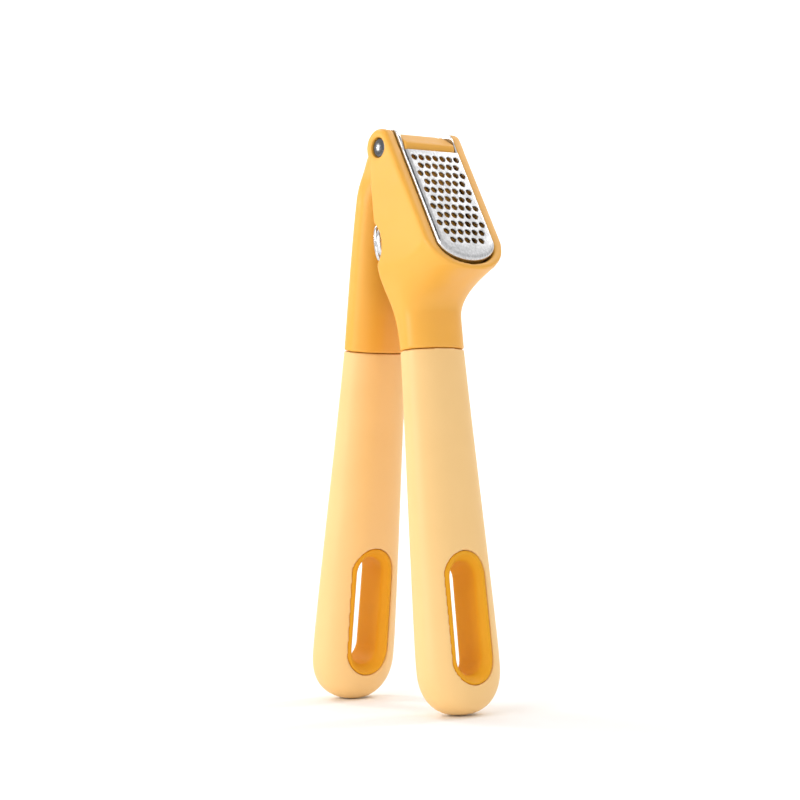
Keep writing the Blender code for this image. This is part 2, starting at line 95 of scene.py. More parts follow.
def next_ring(bm, ring, points):
    """Extrudes the ring's edge and moves the new ring onto the next section."""
    number = {vert: i for i, vert in enumerate(ring)}
    edges = {e for v in ring for e in v.link_edges if e.other_vert(v) in number}
    open_edges = [e for e in edges if len(e.link_faces) < 2]
    made = bmesh.ops.extrude_edge_only(bm, edges=open_edges)
    new_verts = [g for g in made["geom"] if isinstance(g, bmesh.types.BMVert)]
    ordered = [None] * len(ring)
    for vert in new_verts:
        old = next(e.other_vert(vert) for e in vert.link_edges if e.other_vert(vert) in number)
        ordered[number[old]] = vert
    for vert, place in zip(ordered, points):
        vert.co = place
    return ordered


def loft(sections):
    """A closed skin through sections of equally many points."""
    bm = bmesh.new()
    ring = start = first_ring(bm, sections[0])
    for points in sections[1:]:
        ring = next_ring(bm, ring, points)
    bmesh.ops.contextual_create(bm, geom=start)
    bmesh.ops.contextual_create(bm, geom=ring)
    bmesh.ops.recalc_face_normals(bm, faces=bm.faces)
    return bm


def new_piece(name, bm):
    mesh = bpy.data.meshes.new(name)
    bm.to_mesh(mesh)
    bm.free()
    piece = bpy.data.objects.new(name, mesh)
    bpy.context.collection.objects.link(piece)
    return piece


# %% [markdown]
# ## Cutting and joining
# A pocket, a bore or a slot is a solid taken away from another, which is what the Boolean
# modifier does. The result is kept as plain mesh and the cutter is thrown away, so each
# piece ends as one clean object with its place in its mesh.

# %% Booleans that settle at once
def settle(piece):
    """Bakes the piece's modifiers into its mesh."""
    graph = bpy.context.evaluated_depsgraph_get()
    baked = bpy.data.meshes.new_from_object(piece.evaluated_get(graph))
    piece.modifiers.clear()
    old, piece.data = piece.data, baked
    bpy.data.meshes.remove(old)
    piece.data.name = piece.name


def combine(piece, tool, operation):
    step = piece.modifiers.new(operation.lower(), "BOOLEAN")
    step.operation, step.object, step.solver = operation, tool, "EXACT"
    settle(piece)
    bpy.data.objects.remove(tool, do_unlink=True)


def cut(piece, bm):
    combine(piece, new_piece("cutter", bm), "DIFFERENCE")


def add(piece, bm):
    combine(piece, new_piece("addition", bm), "UNION")


# %% [markdown]
# ## Moulded edges
# Plastic never leaves a mould with a razor edge. Remeshing the solid at under half a
# millimetre and relaxing it a little rounds every edge by about that much, inside corners
# too, which catches the light as real mouldings do. The grips are long and plain, so their
# skin is a little coarser, which keeps each of them under 200,000 triangles. Bevelling each
# edge by hand would give the same look, but not across the ragged faces that Booleans leave.

# %% Soften a moulded solid
def soften(piece, grain, passes):
    skin = piece.modifiers.new("skin", "REMESH")
    skin.mode, skin.voxel_size = "VOXEL", grain * MM
    relax = piece.modifiers.new("relax", "SMOOTH")
    relax.factor, relax.iterations = 0.5, passes
    settle(piece)
    piece.data.shade_smooth()
    print(piece.name, len(piece.data.polygons), "faces")


GRAIN = 0.4
GRIP_GRAIN = 1.15 * GRAIN
RELAX = 6

# %% [markdown]
# ## The one section that all the mouldings share
# Head, neck, arm and grips are all rounded rectangles whose corners are quarter ellipses.
# Large corners give the nearly oval grip, small ones give the head's flat sides. Sharing
# one section lets the head melt into the neck without a seam in the curvature.

# %% The rounded section
CORNER_STEPS = 16


def section(half, back, front, back_corner, front_corner):
    """Outline in (x, out): a rectangle with elliptical corners, a quarter turn at each."""
    corners = (
        (1, front, 1, front_corner),
        (-1, front, 1, front_corner),
        (-1, back, -1, back_corner),
        (1, back, -1, back_corner),
    )
    points = []
    for quadrant, (sx, edge, sy, (rx, ry)) in enumerate(corners):
        for i in range(CORNER_STEPS + 1):
            angle = math.pi / 2 * (quadrant + i / CORNER_STEPS)
            x = sx * (half - rx) + rx * math.cos(angle)
            points.append((x, edge - sy * ry + ry * math.sin(angle)))
    return points


def smooth(u):
    u = min(max(u, 0.0), 1.0)
    return u * u * (3 - 2 * u)


def spaced(first, last, step):
    """Heights from first to last, about a step apart."""
    count = max(int(abs(last - first) / step + 0.5), 1)
    return [first + (last - first) * i / count for i in range(count + 1)]


HEIGHT_STEP = 1.0

# %% [markdown]
# ## Grips
# The grip swells gently from the neck to the palm and ends in a full round. The pale sleeve
# is moulded over the lever's core, so it is a shell: the outer loft with the core's loft,
# a hair larger, taken out of it, and a slot cut through both.

# %% Sizes of the neck and grip
NECK_HALF, NECK_DEPTH = 12.0, 6.7
SEAM_DOWN, GRIP_END = 66.7, 185.3
GRIP_HALF, GRIP_DEPTH, GRIP_BELLY, GRIP_ROUND = 15.5, 9.0, 165.0, 15.5
GRIP_SKIN, ROUNDNESS, SEAM_GAP = 2.4, 0.9, 0.25
SLOT_TOP, SLOT_END, SLOT_HALF = 132.6, 176.0, 8.7

Seat = namedtuple("Seat", "place out drop")
basket_seat = Seat(basket_lever, 0.0, 0.0)
plunger_seat = Seat(plunger_lever, 13.4, 1.5)


def grip_section(down, inset, seat):
    """Section of the grip at one height, drawn in by the inset all round."""
    along = min(max((down - SEAM_DOWN) / (GRIP_BELLY - SEAM_DOWN), 0.0), 1.0)
    swell = 0.75 * along + 0.25 * smooth(along)
    half = NECK_HALF + (GRIP_HALF - NECK_HALF) * swell
    depth = NECK_DEPTH + (GRIP_DEPTH - NECK_DEPTH) * swell
    into_end = (down - (GRIP_END - GRIP_ROUND)) / GRIP_ROUND
    if into_end > 0:
        half *= (1 - into_end**2.2) ** (1 / 2.2)
        depth *= (1 - into_end**2.8) ** (1 / 2.8)
    half, depth = half - inset, depth - inset
    corner = (ROUNDNESS * half, ROUNDNESS * depth)
    outline = section(half, seat.out - depth, seat.out + depth, corner, corner)
    return [spot(seat.place, x, out, down + seat.drop) for x, out in outline]


def grip_body(first, inset, seat):
    shank_end = GRIP_END - GRIP_ROUND
    reach = 0.9985 - 0.9 * inset / GRIP_ROUND
    turns = 24
    heights = spaced(first, shank_end, 2 * HEIGHT_STEP)
    for i in range(1, turns + 1):
        heights.append(shank_end + GRIP_ROUND * reach * math.sin(math.pi / 2 * i / turns))
    return loft([grip_section(d, inset, seat) for d in heights])


# %% [markdown]
# ## Slots
# The slot's outline has round ends. Cut straight it would look punched, so the core's slot
# flares into a mouth on each face: the same outline, drawn in less and less as it nears
# the surface. The sleeve stops a little outside the mouth, which leaves the fine parting
# line between the two plastics.

# %% Slot outlines
THROAT_INSET, MOUTH_INSET, SURROUND_INSET, SLOT_GAP = 3.3, 0.7, 0.3, 0.1
THROAT_SHARE = 0.56  # how far out the flare begins, as a share of the grip's half depth


def slot_body(levels, seat):
    """The slot's outline taken through the grip: each level is (out, inset)."""
    steps = 20
    rings = []
    for out, inset in levels:
        half, top, end = SLOT_HALF - inset, SLOT_TOP + inset, SLOT_END - inset
        ring = []
        for centre, turn in ((end - half, 0.0), (top + half, math.pi)):
            for i in range(steps + 1):
                angle = turn + math.pi * i / steps
                down = seat.drop + centre + half * math.sin(angle)
                ring.append(spot(seat.place, half * math.cos(angle), seat.out + out, down))
        rings.append(ring)
    return loft(rings)


def straight_slot(inset, seat):
    return slot_body([(-2 * GRIP_DEPTH, inset), (2 * GRIP_DEPTH, inset)], seat)


def flared_slot(seat):
    """The mouth on one face, level by level, then the same mirrored for the other face."""
    levels = []
    for share in [1.2] + [1.0 - 0.055 * i for i in range(9)]:
        flare = smooth((share - THROAT_SHARE) / (1 - THROAT_SHARE))
        levels.append((-share * GRIP_DEPTH, THROAT_INSET + (MOUTH_INSET - THROAT_INSET) * flare))
    levels += [(-out, inset) for out, inset in reversed(levels)]
    return slot_body(levels, seat)


# %% Make the two sleeves
def make_grip(name, seat):
    grip = new_piece(name, grip_body(SEAM_DOWN, 0.0, seat))
    cut(grip, grip_body(SEAM_DOWN - 0.5, GRIP_SKIN - SEAM_GAP, seat))
    cut(grip, straight_slot(0.0, seat))
    soften(grip, GRIP_GRAIN, RELAX)
    return grip


front_grip = make_grip("basket_lever_soft_grip", basket_seat)
rear_grip = make_grip("plunger_lever_soft_grip", plunger_seat)

# %% [markdown]
# ## Slot surrounds
# Inside the sleeve the lever's core spreads out round the slot. What shows of it is a deep
# oval ring in the lever's own plastic. It is the grip's shape, drawn in a little, trimmed
# to the slot's outline, with the flared slot cut through it.

# %% Make the two surrounds
def make_surround(name, seat):
    ring = new_piece(name, straight_slot(SLOT_GAP, seat))
    body = new_piece("grip_limit", grip_body(SLOT_TOP - 8, SURROUND_INSET, seat))
    combine(ring, body, "INTERSECT")
    cut(ring, flared_slot(seat))
    soften(ring, GRAIN, RELAX)
    return ring


front_surround = make_surround("basket_lever_slot_surround", basket_seat)
rear_surround = make_surround("plunger_lever_slot_surround", plunger_seat)

# %% [markdown]
# ## The head of the basket lever
# The head is a thick frame round the basket: flat sides, two ears at the top for the pin,
# a rim that slopes forward to a rounded nose, and an underside that sweeps back into the
# neck. Its sections are level cuts of the lever. The rim, the ears and the underside are
# each a rule for where the front of the cut lies.

# %% Sizes of the head
EAR_R, HEAD_HALF, HEAD_BACK, RIM_OUT = 6.2, 16.5, 5.6, 5.5
RIM_FILLET, RIM_REACH, EDGE_FILLET = 1.5, 10.6, 1.3
PLATE_OUT, PLATE_TOP, PLATE_HALF, PLATE_STRAIGHT, PLATE_END = 6.9, 4.85, 12.0, 39.15, 46.65
NOSE_DOWN, NOSE_BLEND, NOSE_DEEP = 43.2, 11.7, 22.0
TAPER_TOP, TAPER_END, NECK_TOP, NECK_END = 37.4, 56.7, 38.0, 66.0
TILT_COS, TILT_SIN = math.cos(math.radians(PLATE_TILT)), math.sin(math.radians(PLATE_TILT))


def rim_front(down):
    """How far out the rim's plane is at one height of the lever."""
    return (RIM_OUT + TILT_SIN * down) / TILT_COS


def rim_flat(down):
    """Half-width of the rim at one height, less its fillet: it narrows round the nose."""
    along = TILT_SIN * rim_front(down) + TILT_COS * down
    into = min(max((along - PLATE_STRAIGHT) / RIM_REACH, 0.0), 1.0)
    return max(HEAD_HALF * math.sqrt(1 - into**2) - RIM_FILLET, 0.0)


# %% Section of the head at any height
def ear_section(down):
    """Above the pin the cut follows the ear's round, edges and all."""
    reach = math.sqrt(EAR_R**2 - down**2)
    inner = math.sqrt(max((EAR_R - EDGE_FILLET) ** 2 - down**2, 0.0))
    drop = max(-down - (EAR_R - EDGE_FILLET), 0.0)
    half = HEAD_HALF - EDGE_FILLET + math.sqrt(EDGE_FILLET**2 - drop**2)
    round_x = max(EDGE_FILLET - (HEAD_HALF - half), 0.1)
    front = min(rim_front(down), reach)
    depth = min(reach - inner, 0.9 * reach)
    return section(half, -reach, front, (round_x, depth), (round_x, min(depth, 0.9 * front)))


def body_section(down):
    """Below the pin: flat sides, the sloping rim, then the nose and the neck."""
    back = -max(HEAD_BACK, math.sqrt(max(EAR_R**2 - down**2, 0.0)))
    side_end = (PLATE_STRAIGHT - down * TILT_COS) / TILT_SIN
    front = rim_front(down)
    deep = min(max(front - side_end, RIM_FILLET), NOSE_DEEP)
    front_corner = (HEAD_HALF - rim_flat(down), deep)
    taper = smooth((down - TAPER_TOP) / (TAPER_END - TAPER_TOP))
    half = HEAD_HALF + (NECK_HALF - HEAD_HALF) * taper
    back -= (NECK_DEPTH - HEAD_BACK) * taper
    if down > NOSE_DOWN:
        fall = max(1 - (down - NOSE_DOWN) / NOSE_BLEND, 0.0) ** 2
        front = NECK_DEPTH + (rim_front(NOSE_DOWN) - NECK_DEPTH) * fall
        front_corner = (ROUNDNESS * half, NOSE_DEEP * fall + ROUNDNESS * NECK_DEPTH * (1 - fall))
    neck = smooth((down - NECK_TOP) / (NECK_END - NECK_TOP))
    back_corner = [EDGE_FILLET + (ROUNDNESS * r - EDGE_FILLET) * neck for r in (half, NECK_DEPTH)]
    room = 0.96 * (front - back - back_corner[1])
    front_corner = (min(front_corner[0], 0.96 * half), min(front_corner[1], room))
    return section(half, back, front, back_corner, front_corner)


def level_cut(down):
    outline = ear_section(down) if down < 0 else body_section(down)
    return [spot(basket_lever, x, out, down) for x, out in outline]


# %% [markdown]
# ## Pocket, notches and bore
# The basket drops through the head, so the pocket runs square to the plate from front to
# back and out between the ears. A half-moon notch in the back of each side lets a finger
# reach the basket's tab. The bore steps out to a recess that hides the pin's head.

# %% Cutters of the head
POCKET_HALF, POCKET_END = 12.3, 47.6
THROUGH = 20.0  # past both sides of the head, for a cutter that goes right through
NOTCH_DOWN, NOTCH_HALF, NOTCH_DEPTH = 30.9, 7.4, 3.6
PIN_R, PIN_GAP, PIN_HEAD_R, RECESS_R, RECESS_X = 2.2, 0.2, 3.05, 3.35, 14.4
ROUND_STEPS = 72


def u_ring(place, out, half, top, end, inset=0.0, straight=PLATE_STRAIGHT):
    """A U in (x, down): straight sides and a half-ellipse at the bottom."""
    a, b = half - inset, end - straight - inset
    ring = [spot(place, -a, out, top), spot(place, a, out, top)]
    for i in range(ROUND_STEPS // 2 + 1):
        angle = math.tau * i / ROUND_STEPS
        ring.append(spot(place, a * math.cos(angle), out, straight + b * math.sin(angle)))
    return ring


def turned(place, profile, out=0.0, down=0.0, steps=ROUND_STEPS):
    """A solid turned about an axis along the pin: profile is (x, radius), end to end."""
    rings = []
    for x, radius in profile:
        ring = []
        for i in range(steps):
            angle = math.tau * i / steps
            across, along = radius * math.cos(angle), radius * math.sin(angle)
            ring.append(spot(place, x, out + across, down + along))
        rings.append(ring)
    return loft(rings)


def notch_cutter():
    radius = (NOTCH_HALF**2 + NOTCH_DEPTH**2) / (2 * NOTCH_DEPTH)
    centre = NOTCH_DEPTH - HEAD_BACK - radius
    across = [(-THROUGH, radius), (THROUGH, radius)]
    return turned(basket_lever, across, centre, NOTCH_DOWN, 2 * ROUND_STEPS)


def bore_cutter():
    bore = PIN_R + PIN_GAP
    stepped = [(RECESS_X, bore), (RECESS_X, RECESS_R), (THROUGH, RECESS_R)]
    return turned(basket_lever, [(-x, r) for x, r in reversed(stepped)] + stepped)


def straight_bore(radius):
    """The profile of a plain bore with room for its pin."""
    return [(-THROUGH, radius + PIN_GAP), (THROUGH, radius + PIN_GAP)]


# %% Make the head
STUB = 6.0


def stub(seat):
    """A short tongue of the core that reaches down inside the sleeve."""
    heights = spaced(SEAM_DOWN - 4, SEAM_DOWN + STUB, HEIGHT_STEP)
    return loft([grip_section(d, GRIP_SKIN, seat) for d in heights])


ear_heights = [-EAR_R * math.cos(math.radians(a)) for a in range(4, 90, 4)]
head_heights = ear_heights + spaced(0.0, SEAM_DOWN - SEAM_GAP, HEIGHT_STEP)
head = new_piece("basket_lever_head", loft([level_cut(d) for d in head_heights]))
add(head, stub(basket_seat))
pocket = [u_ring(plate, out, POCKET_HALF, -20, POCKET_END) for out in (-60, 20)]
cut(head, loft(pocket))
cut(head, notch_cutter())
cut(head, bore_cutter())
soften(head, GRAIN, RELAX)

# %% [markdown]
# ## The arm of the plunger lever
# The arm runs straight up behind the head, then bends forward over its shoulder and ends
# in a barrel between the ears. Two smooth curves, one for the front edge and one for the
# back, carry the section round the bend. A web under the arm holds the pressing foot.

# %% Sizes and curves of the arm
BARREL_R, BARREL_HALF = 5.0, 10.7
LOBE_R, LOBE_TOP, LOBE_END = 7.3, 21.7, -23.3
WEB_HALF, WEB_TOP, WEB_END, WEB_OUT = 6.0, 12.0, 38.0, 0.2
WEB_ROOT = ((-30.0, 25.0), (-20.0, 12.0))
FOOT_PIN_R, FOOT_PIN_OUT, FOOT_PIN_DOWN = 1.4, -1.9, 25.0
STRAIGHT_SECTIONS = 11
ARM_FRONT = plunger_seat.out - NECK_DEPTH
ARM_BACK = plunger_seat.out + NECK_DEPTH
SHOULDER_FRONT = ((ARM_FRONT, 34.0), (ARM_FRONT, 20.0), (6.0, 9.0), (1.5, 3.6))
SHOULDER_BACK = ((ARM_BACK, 42.8), (ARM_BACK - 0.8, 3.5), (19.0, -6.7), (3.9, -4.9))


def bezier(curve, t):
    weights = ((1 - t) ** 3, 3 * t * (1 - t) ** 2, 3 * t * t * (1 - t), t**3)
    return [sum(w * p[k] for w, p in zip(weights, curve)) for k in (0, 1)]


def arm_section(front, back, half):
    depth = math.dist(front, back) / 2
    corner = (ROUNDNESS * half, ROUNDNESS * depth)
    ring = []
    for x, across in section(half, -depth, depth, corner, corner):
        share = (across + depth) / (2 * depth)
        out, down = [f + (b - f) * share for f, b in zip(front, back)]
        ring.append(spot(plunger_lever, x, out, down))
    return ring


def lobe():
    """The barrel's front lobe, which closes the chamber's top edge as the lever turns."""
    spread = math.degrees(math.acos(BARREL_R / LOBE_R))
    polar = [(BARREL_R, LOBE_TOP + spread)]
    polar += [(LOBE_R, LOBE_TOP + (LOBE_END - LOBE_TOP) * i / 15) for i in range(16)]
    polar += [(BARREL_R, LOBE_END - spread), (0.5, 180.0)]
    ends = []
    for x in (-BARREL_HALF + 0.1, BARREL_HALF - 0.1):
        turned_by = [(r, math.radians(a)) for r, a in polar]
        points = [(-r * math.cos(a), -r * math.sin(a)) for r, a in turned_by]
        ends.append([spot(plunger_lever, x, out, down) for out, down in points])
    return loft(ends)


# %% Make the arm
arm_seam = SEAM_DOWN + plunger_seat.drop - SEAM_GAP
sections = []
for i in range(STRAIGHT_SECTIONS):
    share = i / STRAIGHT_SECTIONS
    front = (ARM_FRONT, arm_seam + (SHOULDER_FRONT[0][1] - arm_seam) * share)
    back = (ARM_BACK, arm_seam + (SHOULDER_BACK[0][1] - arm_seam) * share)
    sections.append(arm_section(front, back, NECK_HALF))
turns = 36
for i in range(turns + 1):
    t = i / turns
    half = NECK_HALF - (NECK_HALF - BARREL_HALF + 0.2) * smooth((t - 0.3) / 0.2)
    sections.append(arm_section(bezier(SHOULDER_FRONT, t), bezier(SHOULDER_BACK, t), half))
arm = new_piece("plunger_lever_arm", loft(sections))
add(arm, turned(plunger_lever, [(-BARREL_HALF, BARREL_R), (BARREL_HALF, BARREL_R)]))
add(arm, lobe())
web = ((WEB_OUT, WEB_TOP), (WEB_OUT, WEB_END), *WEB_ROOT)
web_sides = [[spot(pressed, x, out, down) for out, down in web] for x in (-WEB_HALF, WEB_HALF)]
add(arm, loft(web_sides))
add(arm, stub(plunger_seat))
cut(arm, turned(plunger_lever, straight_bore(PIN_R)))
cut(arm, turned(pressed, straight_bore(FOOT_PIN_R), FOOT_PIN_OUT, FOOT_PIN_DOWN))
soften(arm, GRAIN, RELAX)

# %% [markdown]
# ## The steel basket
# The basket is one stamped sheet: a plate full of holes, folded back all round into walls,
# with an ear at each side for the pin and a narrow lip at the back. Modelling the outside
# and taking the inside out of it keeps the sheet one thickness everywhere. Each lip has a
# half-moon tab with a rolled edge, which fills the finger notch in the head.

# %% Sizes of the basket
SHEET, FOLD_R, STEEL_EAR_R = 0.9, 1.6, 6.5
LIP_BACK, LIP_THICK, LIP_HALF, LIP_TOP, LIP_END = 7.4, 1.5, 13.8, 17.0, 37.6
TAB_HALF, TAB_DOWN, TAB_REACH, TAB_THICK = 15.4, 30.3, 5.9, 3.1
LIP_ROUND, BEAD_ROUND, TAB_STEPS = 0.6, 1.2, 24
HOLE_R, HOLE_PITCH_X, HOLE_PITCH_DOWN, HOLE_FIRST = 1.1, 3.0, 3.18, 7.75
HOLE_ROWS = (7, 6, 7, 6, 7, 6, 7, 6, 7, 6, 5)


def to_plate(out, down):
    return (TILT_COS * out - TILT_SIN * down, TILT_SIN * out + TILT_COS * down)


def folded_outside():
    rings = [u_ring(plate, -60, PLATE_HALF, -10, PLATE_END)]
    steps = 10
    for i in range(steps + 1):
        angle = math.pi / 2 * i / steps
        out = PLATE_OUT - FOLD_R + FOLD_R * math.sin(angle)
        inset = FOLD_R * (1 - math.cos(angle))
        rings.append(u_ring(plate, out, PLATE_HALF, -10, PLATE_END, inset))
    return loft(rings)


def side_outline():
    """The walls as seen from the side: the ear round the pin, the plate and the sloping back."""
    corner = (PLATE_OUT - SHEET - 0.1, PLATE_TOP)
    start = math.atan2(corner[1], corner[0]) - math.acos(STEEL_EAR_R / math.hypot(*corner))
    end = -math.pi - math.radians(PLATE_TILT)
    outline = [(PLATE_OUT + 2, PLATE_END + 4), (PLATE_OUT + 2, PLATE_TOP), corner]
    steps = 40
    for i in range(steps + 1):
        angle = start + (end - start) * i / steps
        outline.append((STEEL_EAR_R * math.cos(angle), STEEL_EAR_R * math.sin(angle)))
    back, tucked = 0.4 - LIP_BACK, 0.8 - HEAD_BACK
    outline += [to_plate(back, LIP_TOP), to_plate(back, LIP_END + 0.6)]
    return outline + [to_plate(tucked, LIP_END + 3.0), to_plate(tucked, 62.0)]


def ear_room():
    """The space between the ears, above the plate, where the lever's barrel turns."""
    corners = ((-80, -20), (20, -20), (20, PLATE_TOP), (-80, PLATE_TOP))
    half = PLATE_HALF - SHEET
    return loft([[spot(plate, x, out, down) for out, down in corners] for x in (-half, half)])


# %% Lips, tabs and holes
def lip(side):
    """A lip with a half-moon tab: its outer edge is rounded over, level by level."""
    inner = PLATE_HALF - 0.6
    rings = []
    for angle in range(-90, 91, 18):
        across, inset = math.sin(math.radians(angle)), 1 - math.cos(math.radians(angle))
        out = -LIP_BACK + LIP_THICK * (0.5 + 0.5 * across)
        lip_half, tab_half = LIP_HALF - LIP_ROUND * inset, TAB_HALF - LIP_ROUND * inset
        outline = [(inner, LIP_END), (inner, LIP_TOP), (lip_half, LIP_TOP + 1.5)]
        for i in range(TAB_STEPS + 1):
            turn = math.pi * i / TAB_STEPS
            x = lip_half + (tab_half - lip_half) * math.sin(turn)
            outline.append((x, TAB_DOWN - TAB_REACH * math.cos(turn)))
        outline.append((lip_half, LIP_END - 0.4))
        rings.append([spot(basket_lever, side * x, out, down) for x, down in outline])
    return loft(rings)


def tab_bead(side):
    """The tab's rolled edge: a half-moon bead that fills the finger notch."""
    rings = []
    for angle in range(-90, 91, 15):
        across, inset = math.sin(math.radians(angle)), 1 - math.cos(math.radians(angle))
        out = -LIP_BACK + TAB_THICK * (0.5 + 0.5 * across)
        half = TAB_HALF - PLATE_HALF - BEAD_ROUND * inset
        reach = TAB_REACH - 0.4 - BEAD_ROUND * inset
        turns = [math.pi * i / TAB_STEPS for i in range(TAB_STEPS + 1)]
        outline = [(PLATE_HALF + half * math.sin(t), -reach * math.cos(t)) for t in turns]
        rings.append([spot(basket_lever, side * x, out, TAB_DOWN + down) for x, down in outline])
    return loft(rings)


def hole_peg(x, down):
    """A peg that widens at the plate's face, so that each hole has a fine broken edge."""
    break_edge = 0.18
    steps = 20
    levels = (
        (PLATE_OUT - SHEET - 1, HOLE_R),
        (PLATE_OUT - break_edge, HOLE_R),
        (PLATE_OUT + 0.1, HOLE_R + break_edge + 0.1),
    )
    rings = []
    for out, radius in levels:
        angles = [math.tau * i / steps for i in range(steps)]
        circle = [(x + radius * math.cos(a), down + radius * math.sin(a)) for a in angles]
        rings.append([spot(plate, across, out, along) for across, along in circle])
    return loft(rings)


def all_pegs():
    """Every peg in one cutter, in staggered rows."""
    pegs = bmesh.new()
    for row, count in enumerate(HOLE_ROWS):
        for i in range(count):
            x = (i - (count - 1) / 2) * HOLE_PITCH_X
            peg = hole_peg(x, HOLE_FIRST + row * HOLE_PITCH_DOWN)
            mesh = bpy.data.meshes.new("peg")
            peg.to_mesh(mesh)
            peg.free()
            pegs.from_mesh(mesh)
            bpy.data.meshes.remove(mesh)
    return pegs


# %% Make the basket
basket = new_piece("steel_basket", folded_outside())
outline = side_outline()
sides = [[spot(plate, x, out, down) for out, down in outline] for x in (-15, 15)]
combine(basket, new_piece("side_limit", loft(sides)), "INTERSECT")
depths = (-80, PLATE_OUT - SHEET)
cut(basket, loft([u_ring(plate, out, PLATE_HALF, -20, PLATE_END, SHEET) for out in depths]))
cut(basket, ear_room())
for side in (-1, 1):
    add(basket, lip(side))
    add(basket, tab_bead(side))
cut(basket, turned(plate, straight_bore(PIN_R)))
cut(basket, all_pegs())
basket.data.shade_smooth()
basket.data.set_sharp_from_angle(angle=math.radians(28))
print("holes:", sum(HOLE_ROWS), "faces:", len(basket.data.polygons))

# %% [markdown]
# ## Hinge pin and cap
# The pin is turned stock with a low domed head that almost fills its recess. The cap on its
# far end has the same dome, so the press looks alike from both sides. Both are turned from a
# profile, as they would be on a lathe.

# %% Make the pin and its cap
HEAD_IN, HEAD_OUT = RECESS_X + 0.3, HEAD_HALF - 0.35
RIM_SHARE = 0.65  # the straight rim's share of the head's height


def dome():
    rise = HEAD_OUT - HEAD_IN
    profile = [(HEAD_IN, PIN_HEAD_R - 0.15), (HEAD_IN + 0.15, PIN_HEAD_R)]
    for angle in range(0, 90, 6):
        a = math.radians(angle)
        level = RIM_SHARE + (1 - RIM_SHARE) * math.sin(a)
        profile.append((HEAD_IN + rise * level, PIN_HEAD_R * math.cos(a)))
    return profile


shank = [(-HEAD_IN, PIN_R), (RECESS_X - 0.2, PIN_R)]
pin_profile = [(-x, r) for x, r in reversed(dome())] + shank
pin = new_piece("domed_hinge_pin", turned(basket_lever, pin_profile))
cap = new_piece("domed_pin_cap", turned(basket_lever, dome()))
for piece in (pin, cap):
    piece.data.shade_smooth()
    piece.data.set_sharp_from_angle(angle=math.radians(40))
    print(piece.name, len(piece.data.polygons), "faces")

# %% [markdown]
# ## Materials
# Both plastics are satin: a clear colour under a soft broad highlight, with a very fine
# moulded texture that keeps the highlight from looking like glass. The colour wanders by a
# percent or two, as pigment does. Each material is built by one function from its colours
# and its grain.

# %% Node helpers
def new_material(name):
    mat = bpy.data.materials.new(name)
    mat.use_nodes = True
    nodes, links = mat.node_tree.nodes, mat.node_tree.links
    return mat, nodes, links, nodes["Principled BSDF"]


def noise(nodes, links, scale, detail, stretch=(1, 1, 1)):
    """Noise in the object's own space, so it stays put when the piece moves."""
    place = nodes.new("ShaderNodeTexCoord")
    mapping = nodes.new("ShaderNodeMapping")
    mapping.inputs["Scale"].default_value = stretch
    texture = nodes.new("ShaderNodeTexNoise")
    texture.inputs["Scale"].default_value = scale
    texture.inputs["Detail"].default_value = detail
    links.new(place.outputs["Object"], mapping.inputs["Vector"])
    links.new(mapping.outputs["Vector"], texture.inputs["Vector"])
    return texture.outputs["Fac"]


def ramp(nodes, links, fac, low, high, start=0.3, end=0.7):
    """Turns a noise value into a colour or grey between two ends."""
    colours = nodes.new("ShaderNodeValToRGB")
    for element, position, colour in zip(colours.color_ramp.elements, (start, end), (low, high)):
        element.position, element.color = position, (*colour, 1.0)
    links.new(fac, colours.inputs["Fac"])
    return colours.outputs["Color"]


def bump(nodes, links, shader, fac, strength, distance):
    node = nodes.new("ShaderNodeBump")
    node.inputs["Strength"].default_value = strength
    node.inputs["Distance"].default_value = distance
    links.new(fac, node.inputs["Height"])
    links.new(node.outputs["Normal"], shader.inputs["Normal"])


# %% Satin plastics
def moulded_plastic(name, low, high, rough_low, rough_high, texture_depth, shine=0.5):
    mat, nodes, links, shader = new_material(name)
    cloud = noise(nodes, links, 60.0, 3.0)
    links.new(ramp(nodes, links, cloud, low, high), shader.inputs["Base Color"])
    patches = noise(nodes, links, 240.0, 2.0)
    rough = ramp(nodes, links, patches, (rough_low,) * 3, (rough_high,) * 3)
    links.new(rough, shader.inputs["Roughness"])
    grain = noise(nodes, links, 2600.0, 2.0)
    bump(nodes, links, shader, grain, 0.5, texture_depth * MM)
    shader.inputs["Specular IOR Level"].default_value = shine
    return mat


yellow = moulded_plastic("yellow_nylon", (0.87, 0.42, 0.05), (0.89, 0.44, 0.06), 0.36, 0.43, 0.02)
# The slot surrounds are the lever's own yellow nylon, rougher here; their darker, deeper colour
# is painted shade for the inside of the slot.
slot_yellow_painted_shade = moulded_plastic(
    "matt_yellow_nylon_painted_slot_shade", (0.80, 0.36, 0.012), (0.82, 0.38, 0.018), 0.55, 0.65, 0.03, shine=0.2
)
pale = moulded_plastic(
    "pale_grip_plastic", (0.91, 0.58, 0.23), (0.93, 0.60, 0.245), 0.42, 0.5, 0.03
)
print("plastics:", yellow.name, slot_yellow_painted_shade.name, pale.name)

# %% [markdown]
# ## Steel
# The basket is stamped from sheet, so it is bright but not a mirror: a fine mottled grain
# with a little variation in how it scatters light. The pin is turned and polished.

# %% Sheet steel and polished steel
def steel(name, tone, rough_low, rough_high, grain_depth):
    mat, nodes, links, shader = new_material(name)
    speckle = noise(nodes, links, 1400.0, 4.0, (1, 1, 0.5))
    low, high = [tuple(c * f for c in tone) for f in (0.72, 1.0)]
    links.new(ramp(nodes, links, speckle, low, high), shader.inputs["Base Color"])
    patches = noise(nodes, links, 300.0, 3.0)
    rough = ramp(nodes, links, patches, (rough_low,) * 3, (rough_high,) * 3)
    links.new(rough, shader.inputs["Roughness"])
    bump(nodes, links, shader, speckle, 0.3, grain_depth * MM)
    shader.inputs["Metallic"].default_value = 1.0
    return mat


sheet_steel = steel("stamped_sheet_steel", (0.74, 0.74, 0.75), 0.2, 0.28, 0.01)
